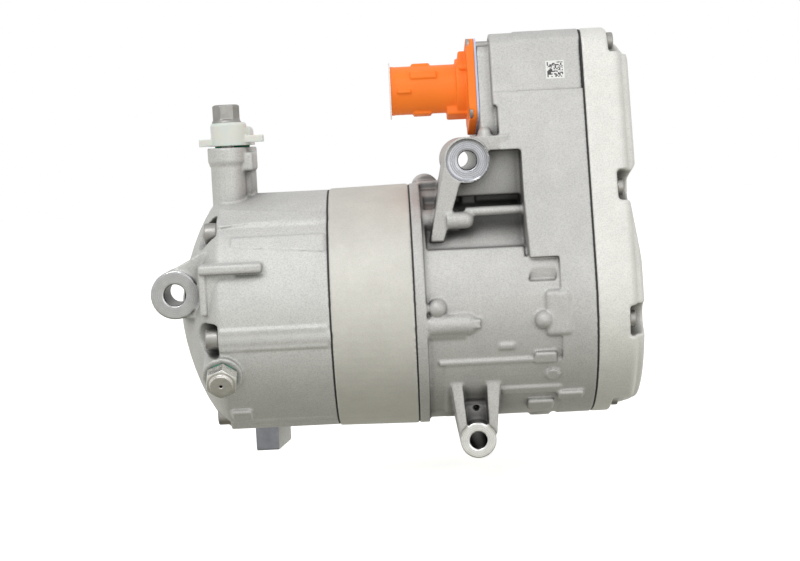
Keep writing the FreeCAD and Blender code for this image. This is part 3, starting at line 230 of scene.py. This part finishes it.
# ---- materials ---------------------------------------------------------------------------
def etched_mark(n, colour):
    """A small pale square of random dark cells on the inverter case, over the given colour."""
    x, y, z = MARK_AT
    tilt = math.radians(CASE_TILT)
    level = Vector((x, y * math.cos(tilt) + z * math.sin(tilt), z * math.cos(tilt) - y * math.sin(tilt)))
    offset = n.add("ShaderNodeVectorMath", operation="SUBTRACT")
    offset.inputs[1].default_value = Vector((JOINT_X, SHAFT.y, SHAFT.z)) + level * MM
    n.link(n.coords, offset.inputs[0])
    turn = n.add("ShaderNodeVectorRotate", rotation_type="X_AXIS")
    turn.inputs["Angle"].default_value = tilt
    n.link(offset.outputs["Vector"], turn.inputs["Vector"])
    flat = n.add("ShaderNodeVectorMath", operation="MULTIPLY")
    flat.inputs[1].default_value = (1.0, 0.0, 1.0)
    n.link(turn.outputs["Vector"], flat.inputs[0])
    cell = n.add("ShaderNodeVectorMath", operation="SNAP")
    cell.inputs[1].default_value = (MARK_CELL * MM,) * 3
    n.link(flat.outputs["Vector"], cell.inputs[0])
    scatter = n.add("ShaderNodeTexWhiteNoise", noise_dimensions="3D")
    n.link(cell.outputs["Vector"], scatter.inputs["Vector"])
    split = n.add("ShaderNodeSeparateXYZ")
    n.link(turn.outputs["Vector"], split.inputs[0])
    reach = n.larger(n.larger(n.magnitude(split.outputs["X"]), n.magnitude(split.outputs["Z"])),
                     n.magnitude(split.outputs["Y"], MARK_REACH_SHARE))
    edge = [(0.4, 0.0), (0.6, 1.0)]
    inside = n.ramp(n.span_from(reach, MARK_HALF * MM, (MARK_HALF - MARK_FADE) * MM), edge)
    quiet = MARK_HALF - MARK_CELL
    inner = n.ramp(n.span_from(reach, quiet * MM, (quiet - MARK_FADE) * MM), edge)
    cells = n.ramp(scatter.outputs["Value"], [(0.48, 1.0), (0.52, 0.0)])
    dark = n.mix("MULTIPLY", 1.0, cells, inner)
    square = n.mix("MIX", dark, (0.85, 0.85, 0.84), (0.10, 0.10, 0.10))
    return n.mix("MIX", inside, colour, square)


def cast_metal(name, colour, rough, grain=1.0, stain=0.10, marked=False):
    """Shot-blasted die casting: fine grain, broad tone changes, painted shade in corners and deep recesses, paler
    edges.
    """
    n = Nodes(name)
    broad = n.ramp(n.noise(26, 4, 0.6), [(0.3, tone(colour, 0.95)), (0.7, tone(colour, 1.04))])
    speckle = n.ramp(n.noise(1500 * grain, 2, 0.7), [(0.36, 1 - stain), (0.58, 1.0)])
    colour_out = n.mix("MULTIPLY", 1.0, broad, speckle)
    flow = n.ramp(n.noise(110, 6, 0.7), [(0.40, 0.95), (0.62, 1.0)])
    colour_out = n.mix("MULTIPLY", 0.8, colour_out, flow)
    # Painted shade: occlusion darkens the colour in corners and creases.
    corner = n.add("ShaderNodeAmbientOcclusion", samples=8)
    corner.inputs["Distance"].default_value = CORNER_SHADE_REACH * MM
    shade = n.ramp(corner.outputs["AO"], [(0.30, 0.30), (0.86, 1.0)])
    colour_out = n.mix("MULTIPLY", 0.9, colour_out, shade)
    # Painted shade: a wide occlusion from the casting alone darkens the colour in its deep recesses.
    recess_shade_ao = n.add("ShaderNodeAmbientOcclusion", samples=8, only_local=True)
    recess_shade_ao.inputs["Distance"].default_value = RECESS_SHADE_REACH * MM
    recess_shade = n.ramp(recess_shade_ao.outputs["AO"], [(0.42, 0.42), (0.82, 1.0)])
    colour_out = n.mix("MULTIPLY", 1.0, colour_out, recess_shade)
    edge = n.ramp(n.add("ShaderNodeNewGeometry").outputs["Pointiness"], [(0.52, 0.0), (0.60, 1.0)])
    colour_out = n.mix("SCREEN", n.span(edge, 0.0, 0.18), colour_out, (0.8, 0.8, 0.8))
    if marked:
        colour_out = etched_mark(n, colour_out)
    grain_height = n.noise(900 * grain, 3, 0.65)
    orange_peel = n.noise(220 * grain, 2, 0.5)
    normal = n.bump(orange_peel, 0.22, 0.35 * MM)
    normal = n.bump(grain_height, 0.55, 0.12 * MM, normal)
    rough_out = n.span(n.noise(400, 4, 0.6), rough - 0.06, rough + 0.10)
    return n.finish(colour_out, rough_out, normal, Metallic=CAST_METALLIC)


def turned_metal(name, centre, colour, groove):
    """A face cut on a machine: fine rings about the bore's axis, with painted shade inside the bore."""
    n = Nodes(name)
    offset = n.add("ShaderNodeVectorMath", operation="SUBTRACT")
    offset.inputs[1].default_value = centre
    n.link(n.coords, offset.inputs[0])
    wave = n.add("ShaderNodeTexWave", wave_type="RINGS", rings_direction="Y")
    wave.inputs["Scale"].default_value = TURNED_RINGS
    wave.inputs["Distortion"].default_value = 0.6
    n.link(offset.outputs["Vector"], wave.inputs["Vector"])
    colour_out = n.ramp(n.noise(300, 3, 0.6), [(0.3, tone(colour, 0.92)), (0.7, tone(colour, 1.08))])
    rings = n.ramp(wave.outputs["Fac"], [(0.2, 1 - groove), (0.7, 1.0)])
    colour_out = n.mix("MULTIPLY", 1.0, colour_out, rings)
    # Painted shade: occlusion darkens the colour inside the bore and next to walls.
    inside = n.add("ShaderNodeAmbientOcclusion", samples=8)
    inside.inputs["Distance"].default_value = BORE_SHADE_REACH * MM
    shade = n.ramp(inside.outputs["AO"], [(0.45, 0.10), (0.80, 1.0)])
    colour_out = n.mix("MULTIPLY", 1.0, colour_out, shade)
    normal = n.bump(wave.outputs["Fac"], 1.2 * groove, 0.03 * MM)
    rough_out = n.span(wave.outputs["Fac"], 0.20, 0.32)
    return n.finish(colour_out, rough_out, normal, Metallic=1.0)


def plain_metal(name, colour, rough):
    """Turned, ground or plated metal with fine streaks and slight tone changes."""
    n = Nodes(name)
    stretch = n.add("ShaderNodeMapping")
    stretch.inputs["Scale"].default_value = (0.15, 1.0, 1.0)
    n.link(n.coords, stretch.inputs["Vector"])
    streaks = n.noise(STREAK_SCALE, 3, 0.6, stretch.outputs["Vector"])
    colour_out = n.ramp(n.noise(240, 4, 0.6), [(0.3, tone(colour, 0.86)), (0.7, tone(colour, 1.08))])
    rough_out = n.span(streaks, rough - 0.08, rough + 0.12)
    return n.finish(colour_out, rough_out, n.bump(streaks, 0.25, 0.04 * MM), Metallic=1.0)


def plastic(name, colour, rough, subsurface=0.0, transmission=0.0, spec=0.5, painted_glow=0.0):
    """Moulded plastic: very fine spark-eroded grain, slight flow marks; glow is painted light, the part shining in
    its own colour though it is no lamp.
    """
    n = Nodes(name)
    colour_out = n.ramp(n.noise(60, 3, 0.6), [(0.3, tone(colour, 0.95)), (0.7, tone(colour, 1.04))])
    rough_out = n.span(n.noise(500, 3, 0.6), rough - 0.05, rough + 0.08)
    normal = n.bump(n.noise(PLASTIC_GRAIN, 2, 0.6), 0.18, 0.06 * MM)
    material = n.finish(colour_out, rough_out, normal)
    n.shader.inputs["Specular IOR Level"].default_value = spec
    n.shader.inputs["Subsurface Weight"].default_value = subsurface
    n.shader.inputs["Subsurface Scale"].default_value = LIGHT_DEPTH * MM
    n.shader.inputs["Transmission Weight"].default_value = transmission
    n.shader.inputs["Emission Color"].default_value = (*colour, 1.0)
    # Painted light: emission in the plastic's own colour makes it shine though it is no lamp.
    n.shader.inputs["Emission Strength"].default_value = painted_glow
    return material


def film(name):
    """Thin clear plastic with a faint warm tint."""
    n = Nodes(name)
    colour_out = n.ramp(n.noise(90, 2, 0.5), [(0.3, (0.96, 0.88, 0.84)), (0.7, (1.0, 0.96, 0.94))])
    rough_out = n.span(n.noise(400, 2, 0.5), 0.10, 0.22)
    material = n.finish(colour_out, rough_out, n.bump(n.noise(150, 2, 0.5), 0.2, 0.1 * MM))
    n.shader.inputs["Alpha"].default_value = 0.42
    return material


def winding(name):
    """Enamelled copper wire laid side by side."""
    n = Nodes(name)
    wave = n.add("ShaderNodeTexWave", wave_type="BANDS", bands_direction="DIAGONAL")
    wave.inputs["Scale"].default_value = 320
    wave.inputs["Distortion"].default_value = 1.5
    n.link(n.coords, wave.inputs["Vector"])
    colour_out = n.ramp(wave.outputs["Fac"], [(0.2, (0.25, 0.08, 0.03)), (0.8, (0.72, 0.33, 0.15))])
    rough_out = n.span(n.noise(500, 3, 0.6), 0.25, 0.4)
    return n.finish(colour_out, rough_out, n.bump(wave.outputs["Fac"], 0.6, 0.3 * MM), Metallic=0.7)


def laminations(name):
    """Stacked electrical steel sheets."""
    n = Nodes(name)
    wave = n.add("ShaderNodeTexWave", wave_type="BANDS", bands_direction="X")
    wave.inputs["Scale"].default_value = 450
    n.link(n.coords, wave.inputs["Vector"])
    colour_out = n.ramp(n.noise(200, 3, 0.6), [(0.3, (0.20, 0.20, 0.22)), (0.7, (0.34, 0.35, 0.37))])
    rough_out = n.span(n.noise(600, 3, 0.6), 0.35, 0.55)
    return n.finish(colour_out, rough_out, n.bump(wave.outputs["Fac"], 0.5, 0.1 * MM), Metallic=0.9)


MATERIALS = {
    "head_casting": cast_metal("head_casting", (0.74, 0.74, 0.725), 0.56, stain=0.17),
    "ring_casting": cast_metal("ring_casting", (0.76, 0.75, 0.70), 0.58, grain=1.3, stain=0.08),
    "housing_casting": cast_metal("housing_casting", (0.68, 0.675, 0.66), 0.54, stain=0.16, marked=True),
    "cover_casting": cast_metal("cover_casting", (0.90, 0.895, 0.86), 0.58, grain=1.1, stain=0.13),
    "machined_aluminium": plain_metal("machined_aluminium", (0.72, 0.73, 0.75), 0.30),
    "gasket": plastic("gasket", (0.03, 0.03, 0.032), 0.55),
    "cast_iron": cast_metal("cast_iron", (0.20, 0.20, 0.21), 0.50),
    "bearing_steel": plain_metal("bearing_steel", (0.60, 0.61, 0.63), 0.22),
    "bolt_steel": plain_metal("bolt_steel", (0.46, 0.45, 0.43), 0.42),
    "valve_steel": plain_metal("valve_steel", (0.86, 0.85, 0.82), 0.24),
    "brass": plain_metal("brass", (0.72, 0.52, 0.22), 0.30),
    "dark_plastic": plastic("dark_plastic", (0.025, 0.026, 0.028), 0.45),
    "green_rubber": plastic("green_rubber", (0.01, 0.30, 0.17), 0.45),
    "natural_nylon": plastic("natural_nylon", (0.87, 0.89, 0.84), 0.38, subsurface=0.35, transmission=0.08),
    # Painted light: the orange plastic is given a faint glow of its own colour.
    "orange_plastic": plastic("orange_plastic", (1.0, 0.22, 0.02), 0.42, subsurface=0.05, spec=0.35,
                              painted_glow=0.12),
    "pale_seal": plastic("pale_seal", (0.60, 0.68, 0.92), 0.40, subsurface=0.2),
    "clear_film": film("clear_film"),
    "electrical_steel": laminations("electrical_steel"),
    "copper_wire": winding("copper_wire"),
    "magnet": plain_metal("magnet", (0.45, 0.45, 0.47), 0.28),
    "circuit_board": plastic("circuit_board", (0.01, 0.13, 0.05), 0.28),
}


def paint_frame():
    """Give every CAD node the material of its slot."""
    for part in RECORD["subparts"]:
        mesh = NODES[part["node"]].data
        mesh.materials.clear()
        mesh.materials.append(MATERIALS[part["material_slot"]])


# ---- soft-edged skins of the cast and moulded nodes ----------------------------------------
SLOT_OF = {p["node"]: p["material_slot"] for p in RECORD["subparts"]}


def body_of(node):
    return next(b for b, members in RECORD["behaviour"]["bodies"].items() if node in members)


def apply_modifiers(piece):
    graph = bpy.context.evaluated_depsgraph_get()
    mesh = bpy.data.meshes.new_from_object(piece.evaluated_get(graph))
    old = piece.data
    piece.modifiers.clear()
    piece.data = mesh
    bpy.data.meshes.remove(old)


def skin(node, voxel, rounds, faces):
    """Replace a node by its own shape with rounded edges and filled-in corners, as cast or moulded."""
    mesh = NODES[node].data.copy()
    welded = bmesh.new()
    welded.from_mesh(mesh)
    bmesh.ops.remove_doubles(welded, verts=welded.verts, dist=WELD_DISTANCE)
    welded.to_mesh(mesh)
    welded.free()
    piece = bpy.data.objects.new(node + "_skin", mesh)
    bpy.context.scene.collection.objects.link(piece)
    remesh = piece.modifiers.new("remesh", "REMESH")
    remesh.mode = "VOXEL"
    remesh.voxel_size = voxel * MM
    smooth = piece.modifiers.new("smooth", "SMOOTH")
    smooth.factor = SMOOTHING
    smooth.iterations = rounds
    apply_modifiers(piece)
    count = sum(len(p.vertices) - 2 for p in piece.data.polygons)
    if count > faces:
        thin = piece.modifiers.new("thin", "DECIMATE")
        thin.ratio = faces / count
        apply_modifiers(piece)
    for polygon in piece.data.polygons:
        polygon.use_smooth = True
    piece.data.materials.clear()
    piece.data.materials.append(MATERIALS[SLOT_OF[node]])
    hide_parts(node)
    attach(piece, body_of(node))
    return piece


def machined_faces(piece, mount, radius, colour, groove):
    """Give the flat ends and the bore of a mounting lug a turned finish."""
    m = MOUNTS[mount]
    centre = Vector(m["pos_m"])
    half = m["dims"]["length_mm"] * MM / 2
    piece.data.materials.append(turned_metal("turned_" + mount, centre, colour, groove))
    index = len(piece.data.materials) - 1
    for polygon in piece.data.polygons:
        offset = polygon.center - centre
        across = math.hypot(offset.x, offset.z)
        square_on = abs(polygon.normal.y) > FACE_SQUARENESS
        at_end = abs(abs(offset.y) - half) < FACE_BAND * MM and square_on
        if across < radius * MM and (at_end or across < (m["dims"]["r_mm"] + BORE_SKIN) * MM):
            polygon.material_index = index


def foot_face(piece):
    """The short lug under the head is sawn flat at its front: smooth metal, its dark bluish tone a painted
    reflection.
    """
    m = MOUNTS["rear_foot_bore"]
    centre = Vector(m["pos_m"])
    front = centre.y - 0.5 * m["dims"]["length_mm"] * MM
    # Painted reflection: the dark bluish base colour stands in for the dark reflection of the flat sawn face.
    piece.data.materials.append(plain_metal("sawn_face", (0.30, 0.31, 0.35), 0.34))
    index = len(piece.data.materials) - 1
    for polygon in piece.data.polygons:
        offset = polygon.center - centre
        near = abs(offset.x) < FOOT_HALF_WIDTH * MM and offset.z < FOOT_TOP * MM
        in_front = front - FOOT_DEPTH * MM < polygon.center.y < front
        if near and in_front and polygon.normal.y < -FOOT_SQUARENESS:
            polygon.material_index = index


def relief_spring():
    """The relief valve's spring (which shortens against its outer end as the poppet lifts): a copy of its mesh,
    attached to its body.
    """
    node = "relief_spring"
    piece = bpy.data.objects.new(node + "_coil", NODES[node].data.copy())
    bpy.context.scene.collection.objects.link(piece)
    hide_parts(node)
    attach(piece, body_of(node))
    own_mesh(piece)


paint_frame()
SKINS = {
    # node: (voxel in mm, smoothing rounds, most triangles)
    "discharge_head": (0.60, 3, 190000),
    "centre_housing": (0.80, 3, 60000),
    "motor_housing": (0.65, 3, 190000),
    "inverter_cover": (0.80, 4, 150000),
    "hv_connector_body": (0.40, 3, 90000),
    "lv_connector_body": (0.40, 3, 40000),
    "discharge_port_cap": (0.35, 4, 50000),
    "suction_port_cap": (0.40, 4, 40000),
    "relief_valve_body": (0.25, 3, 40000),
    "port_cap_bolts": (0.30, 3, 50000),
    "head_bolts": (0.45, 2, 60000),
    "cover_screws": (0.40, 2, 60000),
}
LUG_FACES = [
    # node, bore, radius of its face in mm, colour (the turned aluminium made lighter or darker per lug as painted
    # reflection), depth of the turning rings
    ("motor_housing", "upper_lug_bore", 10.4, (0.53, 0.54, 0.58), 0.24),
    ("motor_housing", "lower_lug_bore", 9.2, (0.90, 0.90, 0.89), 0.03),
    ("discharge_head", "ear_bore", 11.9, (0.60, 0.60, 0.61), 0.05),
]
pieces = {node: skin(node, *settings) for node, settings in SKINS.items()}
for lug_node, *finish in LUG_FACES:
    machined_faces(pieces[lug_node], *finish)
foot_face(pieces["discharge_head"])
relief_spring()


# ---- floor, light, camera ------------------------------------------------------------------
def make_floor():
    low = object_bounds()[0][2]
    bpy.ops.mesh.primitive_plane_add(size=FLOOR_SIZE, location=(0, FLOOR_BACK, low - FLOOR_DROP * MM))
    floor = bpy.context.object
    floor.name = "floor"
    n = Nodes("floor_paper")
    colour_out = n.ramp(n.noise(6, 2, 0.5), [(0.3, 0.93), (0.7, 0.95)])
    floor.data.materials.append(n.finish(colour_out, n.span(n.noise(40), 0.85, 0.95)))
    floor.visible_diffuse = False
    floor.visible_glossy = False
    n.shader.inputs["Emission Color"].default_value = (1.0, 1.0, 1.0, 1.0)
    n.shader.inputs["Emission Strength"].default_value = FLOOR_GLOW


def area_light(name, place, target, size, power):
    data = bpy.data.lights.new(name, "AREA")
    data.shape = "RECTANGLE"
    data.size, data.size_y = size
    data.energy = power
    lamp = bpy.data.objects.new(name, data)
    bpy.context.scene.collection.objects.link(lamp)
    lamp.location = place
    lamp.rotation_euler = (Vector(target) - Vector(place)).to_track_quat("-Z", "Y").to_euler()


def make_world():
    """White backdrop; the light it sheds is strong from above and weak and warm from below."""
    world = bpy.data.worlds.new("studio")
    bpy.context.scene.world = world
    world.use_nodes = True
    tree = world.node_tree
    background = tree.nodes["Background"]
    coords = tree.nodes.new("ShaderNodeTexCoord")
    split = tree.nodes.new("ShaderNodeSeparateXYZ")
    tree.links.new(coords.outputs["Generated"], split.inputs[0])
    height = tree.nodes.new("ShaderNodeMapRange")
    height.inputs["From Min"].default_value = -1.0
    tree.links.new(split.outputs["Z"], height.inputs["Value"])
    sky = tree.nodes.new("ShaderNodeValToRGB")
    for _ in range(len(SKY) - 2):
        sky.color_ramp.elements.new(0.5)
    for element, (place, colour) in zip(sky.color_ramp.elements, SKY):
        element.position = place
        element.color = (*colour, 1.0)
    tree.links.new(height.outputs["Result"], sky.inputs["Fac"])
    path = tree.nodes.new("ShaderNodeLightPath")
    mix = tree.nodes.new("ShaderNodeMix")
    mix.data_type = "RGBA"
    tree.links.new(path.outputs["Is Camera Ray"], mix.inputs[MIX_FACTOR])
    tree.links.new(sky.outputs["Color"], mix.inputs[MIX_A])
    mix.inputs[MIX_B].default_value = (1.0, 1.0, 1.0, 1.0)
    tree.links.new(mix.outputs[MIX_RESULT], background.inputs["Color"])
    background.inputs["Strength"].default_value = 1.0


def make_lights():
    middle = (SHAFT.x - AIM_LEFT, SHAFT.y, SHAFT.z + AIM_UP)
    for name, place, size, power in LIGHTS:
        area_light(name, place, middle, size, power)


def make_camera():
    rise, roll = math.radians(CAMERA_RISE), math.radians(CAMERA_ROLL)
    ahead = Vector((0, math.cos(rise), -math.sin(rise)))
    level_right, level_up = Vector((1, 0, 0)), Vector((0, math.sin(rise), math.cos(rise)))
    right = level_right * math.cos(roll) - level_up * math.sin(roll)
    up = level_right * math.sin(roll) + level_up * math.cos(roll)
    data = bpy.data.cameras.new("camera")
    data.sensor_width = SENSOR_WIDTH
    data.lens = CAMERA_LENS
    camera = bpy.data.objects.new("camera", data)
    bpy.context.scene.collection.objects.link(camera)
    place = Vector((JOINT_X, SHAFT.y, SHAFT.z)) + Vector(CAMERA_FROM_HEAD_JOINT) * MM
    turn = Matrix((right, up, -ahead)).transposed()
    camera.matrix_world = Matrix.Translation(place) @ turn.to_4x4()
    bpy.context.scene.camera = camera


make_floor()
make_world()
make_lights()
make_camera()
bpy.context.scene.view_settings.view_transform = "Standard"
